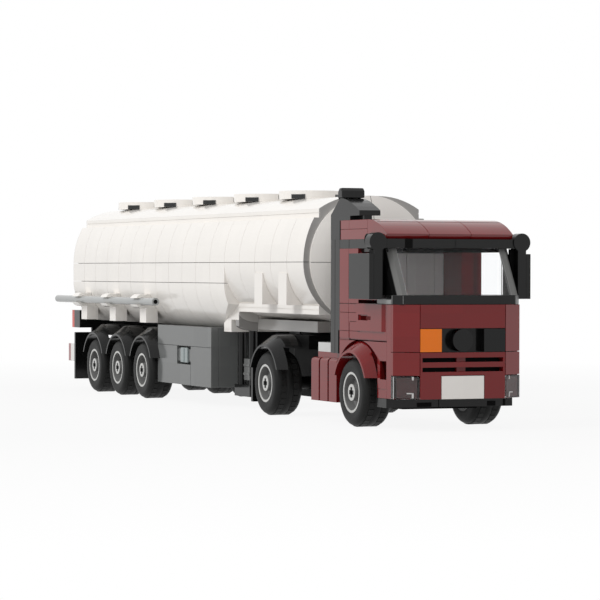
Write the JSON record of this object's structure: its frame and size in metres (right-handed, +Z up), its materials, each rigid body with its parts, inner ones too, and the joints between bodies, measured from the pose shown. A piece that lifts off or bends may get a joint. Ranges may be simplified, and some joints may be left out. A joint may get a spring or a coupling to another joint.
{
  "type": "toy brick tanker lorry",
  "caption": "Brick-built toy tanker lorry: dark red cab and tractor hinged at the kingpin to a long white tank trailer with round hatches, side cabinets, hose tubes and rolling wheels.",
  "frame": {"origin": "centre of the lorry's footprint on the ground, wheels on z = 0, straight ahead", "axes": "+X towards the cab's front, +Y to the driver's left, +Z up"},
  "size_m": [0.364, 0.0638, 0.0849],
  "materials": {
    "red_brick": "smooth moulded dark red ABS",
    "white_brick": "smooth moulded white ABS",
    "dark_grey_brick": "smooth moulded dark grey ABS",
    "light_grey_brick": "smooth moulded light grey ABS",
    "black_brick": "smooth moulded black ABS",
    "orange_tile": "smooth moulded orange ABS",
    "clear_pane": "clear polycarbonate",
    "lamp_red": "clear red polycarbonate",
    "axle_black": "moulded black nylon",
    "rim_grey": "moulded grey ABS",
    "tyre_rubber": "soft black rubber"
  },
  "bodies": {
    "tractor": {"tractor_chassis": "black_brick", "front_bumper": "black_brick", "cab_core": "red_brick", "cab_front_panel": "red_brick", "corner_slopes": "red_brick", "headlamps": "clear_pane", "hazard_plate": "orange_tile", "number_plate": "white_brick", "nose_board": "black_brick", "cab_floor": "dark_grey_brick", "cab_sides": "red_brick", "door_panels": "red_brick", "windscreen_sill": "black_brick", "windscreen": "clear_pane", "side_windows": "clear_pane", "window_header": "black_brick", "cab_roof": "red_brick", "cab_back_wall": "black_brick", "air_intake": "black_brick", "intake_cap": "black_brick", "mirror_arms": "black_brick", "mirror_heads": "black_brick", "front_arches": "red_brick", "side_tanks": "red_brick", "tank_steps": "light_grey_brick", "drive_mudguards": "black_brick", "drive_mudflaps": "black_brick", "fifth_wheel": "black_brick"},
    "trailer": {"trailer_chassis": "black_brick", "kingpin_plate": "white_brick", "tank_saddle": "white_brick", "tank_upper": "white_brick", "tank_strip": "white_brick", "tank_belly_front": "white_brick", "tank_side_panels": "white_brick", "tank_belly_rear": "white_brick", "tank_caps": "white_brick", "hatches": "white_brick", "cabinets": "dark_grey_brick", "landing_legs": "black_brick", "trailer_mudguards": "black_brick", "hose_brackets": "white_brick", "hoses": "light_grey_brick", "rear_bumper": "black_brick", "tail_lamps": "lamp_red"},
    "front_wheelset": {"front_axle": "axle_black", "front_rims": "rim_grey", "front_tyres": "tyre_rubber"},
    "drive_wheelset": {"drive_axle": "axle_black", "drive_rims": "rim_grey", "drive_tyres": "tyre_rubber"},
    "trailer_wheelset_1": {"trailer_axle_1": "axle_black", "trailer_rims_1": "rim_grey", "trailer_tyres_1": "tyre_rubber"},
    "trailer_wheelset_2": {"trailer_axle_2": "axle_black", "trailer_rims_2": "rim_grey", "trailer_tyres_2": "tyre_rubber"},
    "trailer_wheelset_3": {"trailer_axle_3": "axle_black", "trailer_rims_3": "rim_grey", "trailer_tyres_3": "tyre_rubber"}
  },
  "joints": [
    {"name": "trailer_swing", "type": "hinge", "parent": "tractor", "child": "trailer", "pos_m": [0.07, 0, 0.03], "axis": [0, 0, 1], "range_deg": [-90, 90]},
    {"name": "front_wheels_spin", "type": "hinge", "parent": "tractor", "child": "front_wheelset", "pos_m": [0.1488, 0, 0.012], "axis": [0, 1, 0], "continuous": true},
    {"name": "drive_wheels_spin", "type": "hinge", "parent": "tractor", "child": "drive_wheelset", "pos_m": [0.0688, 0, 0.012], "axis": [0, 1, 0], "continuous": true},
    {"name": "trailer_wheels_1_spin", "type": "hinge", "parent": "trailer", "child": "trailer_wheelset_1", "pos_m": [-0.0716, 0, 0.012], "axis": [0, 1, 0], "continuous": true},
    {"name": "trailer_wheels_2_spin", "type": "hinge", "parent": "trailer", "child": "trailer_wheelset_2", "pos_m": [-0.1036, 0, 0.012], "axis": [0, 1, 0], "continuous": true},
    {"name": "trailer_wheels_3_spin", "type": "hinge", "parent": "trailer", "child": "trailer_wheelset_3", "pos_m": [-0.1356, 0, 0.012], "axis": [0, 1, 0], "continuous": true}
  ]
}
